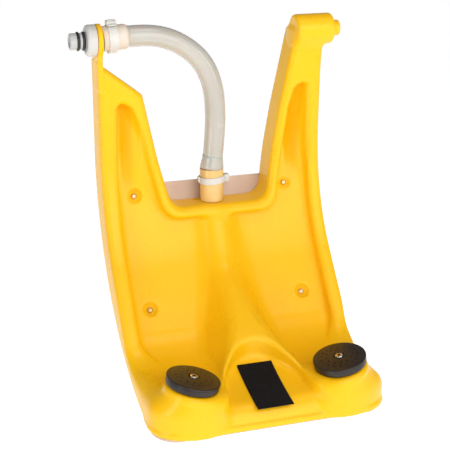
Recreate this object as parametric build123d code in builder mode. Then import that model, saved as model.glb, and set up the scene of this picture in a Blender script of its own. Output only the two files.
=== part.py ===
"""Swing-down wash tray of a portable gravity-fed eyewash station.

Frame: origin at the middle of the hinge axis, +X along that axis towards the plain stub,
-Y towards the user, +Z up, with the tray in its in-use position. Millimetres.
"""

from math import asin, cos, pi, radians, sin, sqrt, tan
import os

from build123d import *

os.makedirs("parts", exist_ok=True)

# ---- driving dimensions -------------------------------------------------------------
half_width = 137.5          # outer side walls at X = -half_width and +half_width
wall = 4.0                  # moulded wall thickness
arc_y, arc_z = -240.0, -130.0   # centre of the big bend that carries the tray forward
back_radius = 267.0         # rear edge of the skirt, about that centre
front_radius = 230.0        # rim crest, about the same centre
lean = 36.0                 # lean of the lower pan from vertical, degrees
recess_depth = 16.0         # pan floor below the rim crest
shelf_z = -355.0            # top of the shelf that carries the heads
front_y = -235.0            # outer face of the front wall
bottom_z = arc_z - back_radius
front_corner = 32.0         # plan radius of the two front corners
rim_width = 16.0
notch_z = -204.0            # bottom of the notch between the arms
arm_top_z = -4.0

hinge_disc_radius = 19.0    # round top of the left tab
tab_thickness = 6.5
boss_radius = 18.5
boss_x = (106.0, 153.5)
stub_radius = 9.5
stub_length = 10.0

ridge_x = 2.0               # centre of the raised pipe cover on the pan
ridge_half = 17.0
hood_side = [               # (half width, z) of the hood where the pipe cover splits
    (29.0, -262.0),
    (30.0, -290.0),
    (35.0, -320.0),
    (45.0, -345.0),
    (60.0, -362.0),
    (60.0, -400.0),
]
hood_crest = ((-62.0, -277.0), (-148.0, -328.0), (-157.0, -355.0))

head_x, head_y, head_z = 86.0, -205.5, -337.0   # centre of a spray face
head_roll, head_pitch = 12.0, 3.0               # inward and forward tilt, degrees
head_radius = 30.0
mound_radius = 33.0
head_height = 11.5

hose_diameter, hose_bore = 25.0, 19.0
hose_route = [              # control polygon of the free hose, end to end
    (-127.0, 0.0, 1.5),
    (-97.0, 0.0, 3.2),
    (-66.0, 0.0, 2.5),
    (-37.5, 0.0, -7.5),
    (-11.0, 0.0, -28.5),
    (3.5, 0.0, -58.5),
    (7.0, 0.3, -95.0),
    (5.0, 0.6, -131.0),
    (1.5, 1.0, -167.5),
    (2.0, 1.0, -203.5),
]

rivet_x = 96.5
rivet_spots = [((0.0, -190.0), 14.0), ((-65.0, -311.5), 36.0)]   # (y, z) and lean
dimple_radius, dimple_depth = 8.5, 2.5
post_radius = 10.5
plate_thickness = 2.5
plate_top_z = -182.0

valley_top = (-157.0, -353.0)    # (y, z) of the patch valley's rear and front
valley_low = (-229.0, -374.0)
valley_half = 40.0

spigot_radius = 10.2        # barrel of the inlet spigot where it turns in the collar
stem_radius = 8.0           # threaded stem under each head
rivet_radius = 2.5
inlet_radius = 10.2
inlet_flange = 12.3
inlet_y = 1.0

tube_radius, tube_bore = 8.0, 6.0
supply_route = [            # pipe under the ridge, from the inlet to the wye
    (ridge_x, 0.2, -216.2),
    (ridge_x, -5.5, -232.0),
    (ridge_x, -20.0, -258.0),
    (ridge_x, -44.0, -291.5),
]
branch_radius, branch_bore = 6.5, 4.6
wye_reach, fork_reach = 12.6, 24.0      # from the wye's centre to its tubes' ends
branch_knee = (26.0, -130.0, -355.0)    # bends of a branch tube, out from the ridge
branch_entry = (66.0, -157.0, -372.5)
elbow_drop = 38.0           # elbow centre below the spray face, along the head's axis
patch_width, patch_length, patch_thickness = 42.0, 74.0, 2.6
running_fit = 0.06          # radial clearance of round fits


def export(piece, name):
    """Label a finished piece and write it as one STEP file."""
    piece.part.label = name
    export_step(piece.part, f"parts/{name}.step")


# ---- side profile -------------------------------------------------------------------
def layer_points(depth):
    """Points (y, z) of the surface that lies depth behind the rim crest, top to shelf."""
    radius = front_radius + depth
    half, full = radians(lean / 2), radians(lean)
    bend_start = (arc_y + radius, arc_z)
    bend_mid = (arc_y + radius * cos(half), arc_z - radius * sin(half))
    bend_end = (arc_y + radius * cos(full), arc_z - radius * sin(full))
    return bend_start, bend_mid, bend_end


def on_lean(point, z):
    """The point at height z on the leaning line through point."""
    return (point[0] - (point[1] - z) * tan(radians(lean)), z)


def add_layer(depth, top, level):
    """Inside BuildLine: the surface at depth, from height top to height level."""
    start, mid, end = layer_points(depth)
    low = on_lean(end, level)
    Line((start[0], top), start)
    ThreePointArc(start, mid, end)
    Line(end, low)
    return (start[0], top), low


def back_height(y, radius=back_radius):
    """Height of the rear arc at y."""
    return arc_z - sqrt(radius**2 - (y - arc_y) ** 2)


def left_outline(inset=0.0):
    """Left arm's inner edge from its shoulder down to the notch, moved in by inset."""
    return [
        (-132.0 + inset, -26.0 - 1.4 * inset),
        (-86.0 - inset, -65.0 - 1.2 * inset),
        (-76.5 - inset, -109.0),
        (-68.0 - inset, -146.0),
        (-54.0 - inset, notch_z - inset),
    ]


def right_outline(inset=0.0):
    """Right arm's inner edge from the notch up to the boss, moved in by inset."""
    return [
        (68.0 + inset, notch_z - inset),
        (77.5 + inset, -146.0),
        (87.5 + inset, -90.0),
        (103.0 + inset, -20.0 - 3.5 * inset),
    ]


def front_points(inset=0.0, top=arm_top_z, low=-430.0):
    """The tray's front outline as (x, z) points, moved in by inset."""
    side = half_width - inset
    return [
        (-side, low),
        (-side, -26.0 - 3.0 * inset),
        *left_outline(inset),
        *right_outline(inset),
        (105.0 + inset, top - 3.6 * inset),
        (side, top - 3.6 * inset),
        (side, low),
    ]


def hood_outline(inset=0.0):
    """The hood's front outline as (x, z) points, moved in by inset."""
    right = [(ridge_x + half - inset, z) for half, z in hood_side]
    left = [(ridge_x - half + inset, z) for half, z in hood_side]
    return right + left[::-1]


# ---- tray shell ---------------------------------------------------------------------
mound_planes = {}
for side_name, sign in (("left", -1), ("right", 1)):
    mound_planes[side_name] = Plane(
        origin=(sign * head_x, head_y, head_z),
        x_dir=(cos(radians(head_roll)), 0, sign * sin(radians(head_roll))),
        z_dir=(
            -sign * sin(radians(head_roll)),
            -sin(radians(head_pitch)),
            cos(radians(head_roll)),
        ),
    )

rivet_planes = [
    Plane(
        origin=(sign * rivet_x, y, z),
        x_dir=(1, 0, 0),
        z_dir=(0, -cos(radians(tilt)), sin(radians(tilt))),
    )
    for (y, z), tilt in rivet_spots
    for sign in (-1, 1)
]

with BuildPart() as envelope:            # everything in front of the rear arc
    with BuildSketch(Plane.YZ):
        with BuildLine():
            rear = arc_y + back_radius
            half = radians(45)
            Line((rear, 60), (rear, arc_z))
            ThreePointArc(
                (rear, arc_z),
                (arc_y + back_radius * cos(half), arc_z - back_radius * sin(half)),
                (arc_y, bottom_z),
            )
            Polyline((arc_y, bottom_z), (-300, bottom_z), (-300, 60), (rear, 60))
        make_face()
    extrude(amount=200, both=True)

with BuildPart() as tray_body:           # solid tray before it is hollowed
    with BuildSketch(Plane.YZ):
        with BuildLine():
            top_point, low_point = add_layer(0.0, 40.0, shelf_z)
            Polyline(
                low_point,
                (front_y, shelf_z),
                (front_y, -430),
                (40, -430),
                (40, 40),
                top_point,
            )
        make_face()
    extrude(amount=half_width, both=True)
    with BuildSketch(Plane.XZ):
        with BuildLine():
            Polyline(*front_points(), close=True)
        make_face()
    extrude(amount=400, both=True, mode=Mode.INTERSECT)
    with BuildSketch(Plane.XY.offset(-500)):
        with Locations((0, 100)):
            RectangleRounded(2 * half_width, 2 * (100 - front_y), front_corner)
    extrude(amount=700, mode=Mode.INTERSECT)

with BuildPart() as hood:                # raised cover where the pipe splits to the heads
    with BuildSketch(Plane.YZ):
        with BuildLine():
            Polyline(*hood_crest, (-60, -370), (-20, -277), hood_crest[0])
        make_face()
    extrude(amount=80, both=True)
    with BuildSketch(Plane.XZ):
        with BuildLine():
            Polyline(*hood_outline(), close=True)
        make_face()
    extrude(amount=400, both=True, mode=Mode.INTERSECT)

with BuildPart() as pan_space:           # the air in front of the pan floor
    with BuildSketch(Plane.YZ):
        with BuildLine():
            top_point, low_point = add_layer(recess_depth, 40.0, shelf_z)
            Polyline(low_point, (-160, shelf_z), (-160, 40), top_point)
        make_face()
    extrude(amount=200, both=True)
    with BuildSketch(Plane.XZ):
        side = half_width - rim_width
        with BuildLine():
            Polyline(
                (-side, -360),
                (-side, -76),
                *left_outline(13.0)[1:],
                *right_outline(13.0)[:3],
                (106.0, -76),
                (side, -76),
                (side, -360),
                close=True,
            )
        make_face()
        with Locations((ridge_x, -250)):
            Rectangle(2 * ridge_half, 220, mode=Mode.SUBTRACT)
    extrude(amount=400, both=True, mode=Mode.INTERSECT)

with BuildPart() as cavity:              # the hollow behind the pan floor and shelf
    with BuildSketch(Plane.YZ):
        with BuildLine():
            top_point, low_point = add_layer(recess_depth + wall, 40.0, shelf_z - wall)
            Polyline(
                low_point,
                (front_y + wall, shelf_z - wall),
                (front_y + wall, -430),
                (40, -430),
                (40, 40),
                top_point,
            )
        make_face()
    extrude(amount=200, both=True)
    with BuildSketch(Plane.XZ):
        with BuildLine():
            Polyline(*front_points(wall, top=arm_top_z - 22), close=True)
        make_face()
    extrude(amount=400, both=True, mode=Mode.INTERSECT)
    with BuildSketch(Plane.XY.offset(-500)):
        with Locations((0, 100)):
            RectangleRounded(
                2 * (half_width - wall), 2 * (100 - front_y - wall), front_corner - wall
            )
    extrude(amount=700, mode=Mode.INTERSECT)

with BuildPart() as rim_hollow:          # the hollow inside the raised rims and ridge
    with BuildSketch(Plane.YZ):
        with BuildLine():
            top_point, low_point = add_layer(wall, 40.0, shelf_z - wall)
            Polyline(low_point, (low_point[0] + 40, shelf_z - wall), (40, -300), (40, 40), top_point)
        make_face()
    extrude(amount=200, both=True)
    with BuildSketch(Plane.XZ):
        for sign in (-1, 1):
            with Locations((sign * (half_width - rim_width / 2), -220)):
                Rectangle(rim_width - 2 * wall, 290)
        with Locations((ridge_x, (notch_z - wall - 380) / 2)):
            Rectangle(2 * (ridge_half - wall), 380 + notch_z - wall)
    extrude(amount=400, both=True, mode=Mode.INTERSECT)

with BuildPart() as hood_hollow:
    with BuildSketch(Plane.YZ):
        with BuildLine():
            crest, lip, foot = hood_crest
            Polyline(
                (crest[0], crest[1] - 6),
                (lip[0] + 5, lip[1] - 6),
                (foot[0] + 5, -370),
                (-60, -380),
                (-30, -300),
                close=True,
            )
        make_face()
    extrude(amount=80, both=True)
    with BuildSketch(Plane.XZ):
        with BuildLine():
            Polyline(*hood_outline(wall), close=True)
        make_face()
    extrude(amount=400, both=True, mode=Mode.INTERSECT)

with BuildPart() as patch_valley:        # sloping valley between the two mounds
    with BuildSketch(Plane.YZ):
        with BuildLine():
            Polyline(
                (valley_top[0] + 7, valley_top[1] + 20),
                valley_top,
                valley_low,
                (front_y - 20, valley_low[1]),
                (front_y - 20, -300),
                (-160, -300),
                close=True,
            )
        make_face()
    extrude(amount=valley_half, both=True)

with BuildPart() as tray_shell:
    add(tray_body)
    for plane in mound_planes.values():
        with BuildSketch(plane.offset(-head_height)):
            Circle(mound_radius)
        extrude(amount=-60)
    add(pan_space, mode=Mode.SUBTRACT)
    add(hood)                            # the pan's air stops at the hood
    add(patch_valley, mode=Mode.SUBTRACT)
    add(cavity, mode=Mode.SUBTRACT)
    add(rim_hollow, mode=Mode.SUBTRACT)
    add(hood_hollow, mode=Mode.SUBTRACT)
    with BuildSketch(Plane.YZ):          # floor of the valley
        with BuildLine():
            Polyline(
                (valley_top[0] + 5, valley_top[1] + 14),
                valley_top,
                valley_low,
                (front_y + 1, valley_low[1] - 2),
                (front_y + 1, valley_low[1] - wall - 2),
                (valley_top[0] + 5, valley_top[1] - wall - 1),
                close=True,
            )
        make_face()
    extrude(amount=valley_half + 2, both=True)
    for plane in mound_planes.values():
        with BuildSketch(plane.offset(-head_height - wall)):
            Circle(mound_radius - wall)
        extrude(amount=-60, mode=Mode.SUBTRACT)
        with BuildSketch(plane.offset(-head_height + 1)):
            Circle(stem_radius + running_fit)
        extrude(amount=-wall - 2, mode=Mode.SUBTRACT)
    for plane in rivet_planes:
        with BuildSketch(plane):         # post behind the floor
            Circle(post_radius)
        extrude(amount=-60)
    for plane in rivet_planes:
        with BuildSketch(plane.offset(20)):
            Circle(dimple_radius)
        extrude(amount=-20 - dimple_depth, mode=Mode.SUBTRACT)
        with BuildSketch(plane):
            Circle(rivet_radius)
        extrude(amount=-80, mode=Mode.SUBTRACT)
    with BuildSketch(Plane.XY.offset(notch_z - 30)):
        with Locations((ridge_x, inlet_y)):
            Circle(inlet_radius)
    extrude(amount=60, mode=Mode.SUBTRACT)
    add(envelope, mode=Mode.INTERSECT)
    with BuildSketch(Plane.YZ.offset(-half_width)):      # left tab
        Circle(hinge_disc_radius)
        with Locations((4, -22)):
            Rectangle(2 * hinge_disc_radius - 8, 44)
    extrude(amount=tab_thickness)
    with BuildSketch(Plane.YZ.offset(boss_x[0])):        # right boss
        Circle(boss_radius)
    extrude(amount=boss_x[1] - boss_x[0])
    with BuildSketch(Plane.YZ.offset(boss_x[1])):        # its stub
        Circle(stub_radius)
    extrude(amount=stub_length)
    with BuildSketch(Plane.YZ.offset(-half_width - 1)):
        Circle(spigot_radius + running_fit)
    extrude(amount=tab_thickness + 2, mode=Mode.SUBTRACT)
    chamfer(tray_shell.faces().sort_by(Axis.X)[-1].edges(), 1.2)
print("tray", tray_shell.part.volume, len(tray_shell.part.solids()))
export(tray_shell, "tray_shell")


# ---- helpers for the small parts ----------------------------------------------------
def along(start, end):
    """A plane at start whose normal points to end, and the distance between them."""
    step = Vector(*end) - Vector(*start)
    return Plane(origin=start, z_dir=step.normalized()), step.length


def distance_to_arc(origin, tilt, radius):
    """How far behind origin (y, z), going back at tilt, the arc of this radius lies."""
    back = (cos(radians(tilt)), -sin(radians(tilt)))
    off = (origin[0] - arc_y, origin[1] - arc_z)
    middle = off[0] * back[0] + off[1] * back[1]
    return -middle + sqrt(middle**2 - off[0] ** 2 - off[1] ** 2 + radius**2)


def route_radii(route):
    """Bend radius for each inner point of a route of straight runs."""
    points = [Vector(*point) for point in route]
    found = []
    for before, here, after in zip(points, points[1:], points[2:]):
        turn = radians((here - before).get_angle(after - here))
        shorter = min((here - before).length, (after - here).length)
        found.append(0.45 * shorter / tan(turn / 2))
    return found


# ---- back plate and its rivets ------------------------------------------------------
plate_rear = back_radius + plate_thickness
plate_start = asin((arc_z - plate_top_z) / back_radius)
plate_end = radians(90) - asin((front_y + 3 - arc_y) / back_radius)


def arc_point(radius, angle):
    """Point (y, z) at an angle below level on a circle about the bend centre."""
    return (arc_y + radius * cos(angle), arc_z - radius * sin(angle))


with BuildPart() as back_plate:
    with BuildSketch(Plane.YZ):
        with BuildLine():
            angles = (plate_start, (plate_start + plate_end) / 2, plate_end)
            ThreePointArc(*[arc_point(back_radius, angle) for angle in angles])
            Line(arc_point(back_radius, plate_end), arc_point(plate_rear, plate_end))
            ThreePointArc(*[arc_point(plate_rear, angle) for angle in angles[::-1]])
            Line(arc_point(plate_rear, plate_start), arc_point(back_radius, plate_start))
        make_face()
    extrude(amount=half_width - 2, both=True)
    with BuildSketch(Plane.XY.offset(-500)):
        with Locations((0, 100)):
            RectangleRounded(
                2 * (half_width - 2), 2 * (100 - front_y - 2), front_corner - 2
            )
    extrude(amount=700, mode=Mode.INTERSECT)
    for plane in rivet_planes:
        with BuildSketch(plane):
            Circle(rivet_radius)
        extrude(amount=-60, mode=Mode.SUBTRACT)
export(back_plate, "back_plate")

with BuildPart() as cover_rivets:
    for number, plane in enumerate(rivet_planes):
        spot, tilt = rivet_spots[number // 2]
        grip = distance_to_arc(spot, tilt, plate_rear) + 0.9
        with BuildSketch(plane.offset(-grip)):
            Circle(rivet_radius - 0.05)
        extrude(amount=grip - dimple_depth)
        with BuildSketch(plane.offset(-dimple_depth)):
            Circle(4.8)
        extrude(amount=1.8, taper=32)
        with BuildSketch(plane.offset(-grip)):
            Circle(4.0)
        extrude(amount=-3.0, taper=18)
export(cover_rivets, "cover_rivets")

# ---- inlet: spigot, seals, thrust collar --------------------------------------------
ring_minor = 1.5
ring_major = 9.55
ring_x = (-158.4, -152.0)
groove_radius, groove_width = 8.0, 3.5
spigot_tip_x = -168.0
collar_x = (-149.6, -138.0)
barb_x = -97.0
barb_radius = hose_bore / 2 - running_fit
nut_face_x = -half_width + tab_thickness


def barb_profile(start, end, count, radius):
    """Points (position, radius) of count barbs from start to end, tip last."""
    pitch = (end - start) / count
    points = []
    for number in range(count):
        base = start + number * pitch
        points += [(base, radius), (base + pitch, radius - 0.9)]
    return points


with BuildPart() as inlet_spigot:
    with BuildSketch(Plane.XZ):
        with BuildLine():
            Polyline(
                (spigot_tip_x, 6.5),
                (spigot_tip_x, 8.9),
                (spigot_tip_x + 0.8, 9.7),
                (ring_x[0] - groove_width / 2, 9.7),
                (ring_x[0] - groove_width / 2, groove_radius),
                (ring_x[0] + groove_width / 2, groove_radius),
                (ring_x[0] + groove_width / 2, 9.7),
                (ring_x[1] - groove_width / 2, 9.7),
                (ring_x[1] - groove_width / 2, groove_radius),
                (ring_x[1] + groove_width / 2, groove_radius),
                (ring_x[1] + groove_width / 2, spigot_radius),
                (nut_face_x, spigot_radius),
                (nut_face_x, 14.0),
                (nut_face_x + 4.0, 14.0),
                *barb_profile(nut_face_x + 4.0, barb_x, 4, barb_radius),
                (barb_x, 6.5),
                close=True,
            )
        make_face()
    revolve(axis=Axis.X)
export(inlet_spigot, "inlet_spigot")

for name, place in (("o_ring_outer", ring_x[0]), ("o_ring_inner", ring_x[1])):
    with BuildPart() as seal:
        with BuildSketch(Plane.XZ):
            with Locations((place, ring_major)):
                Circle(ring_minor)
        revolve(axis=Axis.X)
    export(seal, name)

with BuildPart() as thrust_collar:
    with BuildSketch(Plane.YZ.offset(collar_x[0])):
        Circle(boss_radius)
        Circle(spigot_radius + running_fit, mode=Mode.SUBTRACT)
    extrude(amount=collar_x[1] - collar_x[0])
    outer_edges = thrust_collar.edges().filter_by(GeomType.CIRCLE).sort_by(SortBy.RADIUS)
    fillet(outer_edges[-2:].sort_by(Axis.X)[0], 3.5)
export(thrust_collar, "thrust_collar")

# ---- hose and its ties --------------------------------------------------------------
radii = route_radii(hose_route)
print("hose bend radii", [round(radius) for radius in radii])
with BuildPart() as supply_hose:
    with BuildLine() as hose_line:
        FilletPolyline(*hose_route, radius=radii)
    with BuildSketch(hose_line.line ^ 0):
        Circle(hose_diameter / 2)
        Circle(hose_bore / 2, mode=Mode.SUBTRACT)
    sweep()
hose_length = sum(edge.length for edge in hose_line.edges())
hose_section = pi * (hose_diameter**2 - hose_bore**2) / 4
print("hose length", round(hose_length, 1))
print("hose volume", round(supply_hose.part.volume), "of", round(hose_section * hose_length))
export(supply_hose, "supply_hose")

tie_width, tie_thickness = 7.0, 1.4
tie_inner = hose_diameter / 2
for name, plane, head_angle in (
    ("upper_cable_tie", Plane.YZ.offset(-118.5), 90),
    ("lower_cable_tie", Plane(origin=(1.8, 3.4, -183.0), x_dir=(1, 0, 0), z_dir=(0, 0, 1)), 0),
):
    with BuildPart() as tie:
        with BuildSketch(plane):
            Circle(tie_inner + tie_thickness)
            with PolarLocations(tie_inner + 3.4, 1, head_angle):
                Rectangle(6.6, 9.0)
            Circle(tie_inner, mode=Mode.SUBTRACT)
        extrude(amount=tie_width)
    export(tie, name)

# ---- pipework inside the tray -------------------------------------------------------
with BuildPart() as inlet_fitting:
    barb_top = -163.0
    with BuildSketch(Plane.XZ.offset(-inlet_y)):
        with BuildLine():
            profile = barb_profile(notch_z + 0.5, barb_top, 4, barb_radius)
            Polyline(
                (ridge_x + 5.2, notch_z - 9.0),
                (ridge_x + inlet_flange, notch_z - 9.0),
                (ridge_x + inlet_flange, notch_z - wall - 0.3),
                (ridge_x + inlet_radius - 0.1, notch_z - wall - 0.3),
                (ridge_x + inlet_radius - 0.1, notch_z + 0.5),
                *[(ridge_x + radius, place) for place, radius in profile],
                (ridge_x + 5.2, barb_top),
                close=True,
            )
        make_face()
    revolve(axis=Axis((ridge_x, inlet_y, 0), (0, 0, 1)))
    lower_plane, _ = along(supply_route[0], supply_route[1])
    with BuildSketch(lower_plane.offset(-5.0)):
        Circle(tube_bore - running_fit)
    extrude(amount=17.0)
    with BuildSketch(lower_plane.offset(-5.5)):
        Circle(4.2)
    extrude(amount=20.0, mode=Mode.SUBTRACT)
export(inlet_fitting, "inlet_fitting")


def run_tube(name, route, radius, bore):
    """A hollow tube along a route of straight runs with bends."""
    with BuildPart() as tube:
        with BuildLine() as path:
            FilletPolyline(*route, radius=[0.8 * bend for bend in route_radii(route)])
        with BuildSketch(path.line ^ 0):
            Circle(radius)
            Circle(bore, mode=Mode.SUBTRACT)
        sweep()
    export(tube, name)


run_tube("supply_tube", supply_route, tube_radius, tube_bore)

last_run = Vector(*supply_route[-1]) - Vector(*supply_route[-2])
wye_centre = Vector(*supply_route[-1]) + last_run.normalized() * wye_reach
elbow_centres, branch_starts = {}, {}
for side_name, sign in (("left", -1), ("right", 1)):
    plane = mound_planes[side_name]
    elbow_centres[side_name] = plane.origin - plane.z_dir * elbow_drop
    knee = Vector(ridge_x + sign * branch_knee[0], branch_knee[1], branch_knee[2])
    outlet = (knee - wye_centre).normalized()
    branch_starts[side_name] = wye_centre + outlet * fork_reach
    entry = Vector(sign * branch_entry[0], branch_entry[1], branch_entry[2])
    inward = (entry - elbow_centres[side_name]).normalized()
    branch_end = elbow_centres[side_name] + inward * 12
    run_tube(
        f"branch_tube_{side_name}",
        [tuple(branch_starts[side_name]), tuple(knee), tuple(entry), tuple(branch_end)],
        branch_radius,
        branch_bore,
    )
    with BuildPart() as elbow:
        with BuildSketch(plane.offset(-elbow_drop - 7)):
            Circle(10.4)
        extrude(amount=18)
        toward = Plane(origin=elbow_centres[side_name], z_dir=inward)
        with BuildSketch(toward):
            Circle(8.0)
        extrude(amount=11.8)
        with BuildSketch(toward):
            Circle(branch_bore - running_fit)
        extrude(amount=27)
        with BuildSketch(plane.offset(-elbow_drop + 12)):
            Circle(stem_radius + running_fit)
        extrude(amount=-10, mode=Mode.SUBTRACT)
        with BuildSketch(plane.offset(-elbow_drop + 3)):
            Circle(4.2)
        extrude(amount=-6, mode=Mode.SUBTRACT)
        with BuildSketch(toward):
            Circle(3.2)
        extrude(amount=28, mode=Mode.SUBTRACT)
    export(elbow, f"head_elbow_{side_name}")

with BuildPart() as wye_fitting:
    outlets = [(*along(wye_centre, Vector(*supply_route[-1])), tube_radius, tube_bore)]
    for end in branch_starts.values():
        outlets.append((*along(wye_centre, end), branch_radius, branch_bore))
    with Locations(Location(wye_centre)):
        Sphere(9.4)
    for plane, reach, radius, bore in outlets:
        with BuildSketch(plane):
            Circle(radius + 0.2)
        extrude(amount=reach - 0.1)
        with BuildSketch(plane):
            Circle(bore - running_fit)
        extrude(amount=reach + 14)
    with Locations(Location(wye_centre)):
        Sphere(5.4, mode=Mode.SUBTRACT)
    for plane, reach, radius, bore in outlets:
        with BuildSketch(plane.offset(3)):
            Circle(0.7 * bore)
        extrude(amount=reach + 12, mode=Mode.SUBTRACT)
export(wye_fitting, "wye_fitting")

# ---- spray heads --------------------------------------------------------------------
face_thickness = 3.4
cup_floor, cup_wall = 3.0, 2.5
gasket_thickness = 1.5
stem_length = 26.0
body_base = -head_height + gasket_thickness
for side_name, plane in mound_planes.items():
    with BuildPart() as gasket:
        with BuildSketch(plane.offset(-head_height)):
            Circle(20)
            Circle(stem_radius + running_fit, mode=Mode.SUBTRACT)
        extrude(amount=gasket_thickness)
    export(gasket, f"head_gasket_{side_name}")

    with BuildPart() as body:
        with BuildSketch(plane.offset(body_base)):
            Circle(head_radius - 1.2)
        extrude(amount=-body_base - face_thickness)
        with BuildSketch(plane.offset(body_base)):
            Circle(stem_radius)
        extrude(amount=-stem_length)
        with BuildSketch(plane.offset(body_base + cup_floor)):
            Circle(head_radius - 1.2 - cup_wall)
        extrude(amount=20, mode=Mode.SUBTRACT)
        with BuildSketch(plane.offset(body_base - stem_length)):
            Circle(5.5)
        extrude(amount=stem_length + cup_floor, mode=Mode.SUBTRACT)
        with BuildSketch(plane.offset(body_base - 1)):
            Circle(3.2)
        extrude(amount=-body_base - face_thickness + 1)
        with BuildSketch(plane.offset(body_base - 1)):
            Rectangle(12, 2)
        extrude(amount=cup_floor + 1)
        with BuildSketch(plane.offset(-face_thickness)):
            Circle(1.9)
        extrude(amount=-7, mode=Mode.SUBTRACT)
    export(body, f"spray_head_body_{side_name}")

    with BuildPart() as filter_pad:
        with BuildSketch(plane.offset(body_base + cup_floor)):
            Circle(head_radius - 1.4 - cup_wall)
            Circle(6.2, mode=Mode.SUBTRACT)
        extrude(amount=-face_thickness - body_base - cup_floor - 0.2)
    export(filter_pad, f"filter_pad_{side_name}")

    with BuildPart() as face:
        with BuildSketch(plane.offset(-face_thickness)):
            Circle(head_radius)
        extrude(amount=face_thickness)
        fillet(face.edges().group_by(lambda edge: plane.to_local_coords(edge.center()).Z)[-1], 1.6)
        with BuildSketch(plane.offset(-1.4)):
            Circle(6.0)
        extrude(amount=2, mode=Mode.SUBTRACT)
        with BuildSketch(plane.offset(-face_thickness)):
            Circle(2.1)
            with PolarLocations(15.0, 12):
                Circle(0.9)
            with PolarLocations(20.5, 18):
                Circle(0.9)
        extrude(amount=face_thickness, mode=Mode.SUBTRACT)
    export(face, f"spray_face_{side_name}")

    with BuildPart() as screw:
        with BuildSketch(plane.offset(-1.4)):
            Circle(4.4)
        extrude(amount=2.2)
        with BuildSketch(plane.offset(-1.4)):
            Circle(1.85)
        extrude(amount=-8.0)
        with BuildSketch(plane.offset(0.8)):
            RegularPolygon(1.9, 6)
        extrude(amount=-1.6, mode=Mode.SUBTRACT)
    export(screw, f"head_screw_{side_name}")

    with BuildPart() as lock_nut:
        with BuildSketch(plane.offset(-head_height - wall - 0.1)):
            RegularPolygon(13, 6)
            Circle(stem_radius + running_fit, mode=Mode.SUBTRACT)
        extrude(amount=-5)
    export(lock_nut, f"head_lock_nut_{side_name}")

# ---- hook-and-loop patch ------------------------------------------------------------
valley_step = Vector(0, valley_low[0] - valley_top[0], valley_low[1] - valley_top[1])
valley_plane = Plane(
    origin=Vector(0, *valley_top) + valley_step * 0.5,
    x_dir=(1, 0, 0),
    z_dir=Vector(1, 0, 0).cross(valley_step.normalized()) * -1,
)
with BuildPart() as hook_loop_patch:
    with BuildSketch(valley_plane):
        RectangleRounded(patch_width, min(patch_length, valley_step.length), 1.5)
    extrude(amount=patch_thickness)
export(hook_loop_patch, "hook_loop_patch")
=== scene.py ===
"""Swing-down wash tray of a gravity-fed eyewash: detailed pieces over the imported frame.

Lengths in the shape code are millimetres in the shared frame: origin in the middle of
the hinge axis, +X along it to the plain stub, -Y towards the user, +Z up.
"""

from math import cos, pi, radians, sin, sqrt

import bmesh
import bpy
import numpy as np
from mathutils import Matrix, Vector


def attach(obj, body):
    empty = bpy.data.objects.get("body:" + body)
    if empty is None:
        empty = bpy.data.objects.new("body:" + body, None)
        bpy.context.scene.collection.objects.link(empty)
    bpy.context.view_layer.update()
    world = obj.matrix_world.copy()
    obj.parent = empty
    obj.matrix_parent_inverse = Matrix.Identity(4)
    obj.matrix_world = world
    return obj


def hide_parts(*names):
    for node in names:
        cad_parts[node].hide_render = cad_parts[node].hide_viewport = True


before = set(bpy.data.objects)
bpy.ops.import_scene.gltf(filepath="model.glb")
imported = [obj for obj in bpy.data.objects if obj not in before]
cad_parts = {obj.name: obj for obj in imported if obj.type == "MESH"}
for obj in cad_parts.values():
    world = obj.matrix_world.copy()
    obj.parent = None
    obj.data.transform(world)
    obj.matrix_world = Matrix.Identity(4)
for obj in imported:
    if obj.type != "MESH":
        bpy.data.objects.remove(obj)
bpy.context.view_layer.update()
MM = 0.001


# ---- materials ----------------------------------------------------------------------
def material(name, base, rough=0.45, **sockets):
    """A principled material and its node tree, with plain values on the shader."""
    mat = bpy.data.materials.new(name)
    mat.use_nodes = True
    shader = mat.node_tree.nodes["Principled BSDF"]
    shader.inputs["Base Color"].default_value = (*base, 1)
    shader.inputs["Roughness"].default_value = rough
    for socket, value in sockets.items():
        shader.inputs[socket.replace("_", " ")].default_value = value
    return mat


def texture(mat, kind, scale, detail=3.0, **values):
    """A noise or voronoi texture in object coordinates."""
    nodes, links = mat.node_tree.nodes, mat.node_tree.links
    coords = nodes.new("ShaderNodeTexCoord")
    tex = nodes.new(kind)
    tex.inputs["Scale"].default_value = scale
    tex.inputs["Detail"].default_value = detail
    for name, value in values.items():
        tex.inputs[name].default_value = value
    links.new(coords.outputs["Object"], tex.inputs["Vector"])
    return tex.outputs[0]


def ramp(mat, factor, stops):
    """A colour ramp over factor, stops being (position, colour)."""
    node = mat.node_tree.nodes.new("ShaderNodeValToRGB")
    elements = node.color_ramp.elements
    while len(elements) < len(stops):
        elements.new(0.5)
    for element, (place, colour) in zip(elements, stops):
        element.position = place
        element.color = (*colour, 1)
    mat.node_tree.links.new(factor, node.inputs["Fac"])
    return node.outputs["Color"]


def spread(mat, factor, low, high):
    """Factor taken from 0..1 to low..high."""
    node = mat.node_tree.nodes.new("ShaderNodeMapRange")
    node.inputs["To Min"].default_value = low
    node.inputs["To Max"].default_value = high
    mat.node_tree.links.new(factor, node.inputs["Value"])
    return node.outputs["Result"]


def bump(mat, height, distance, strength=0.5, under=None):
    """A bump node of that height in metres, laid over another one."""
    node = mat.node_tree.nodes.new("ShaderNodeBump")
    node.inputs["Strength"].default_value = strength
    node.inputs["Distance"].default_value = distance
    mat.node_tree.links.new(height, node.inputs["Height"])
    if under is not None:
        mat.node_tree.links.new(under, node.inputs["Normal"])
    return node.outputs["Normal"]


def drive(mat, socket, output):
    """Feed a shader socket from a node output."""
    shader = mat.node_tree.nodes["Principled BSDF"]
    mat.node_tree.links.new(output, shader.inputs[socket])


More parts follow.
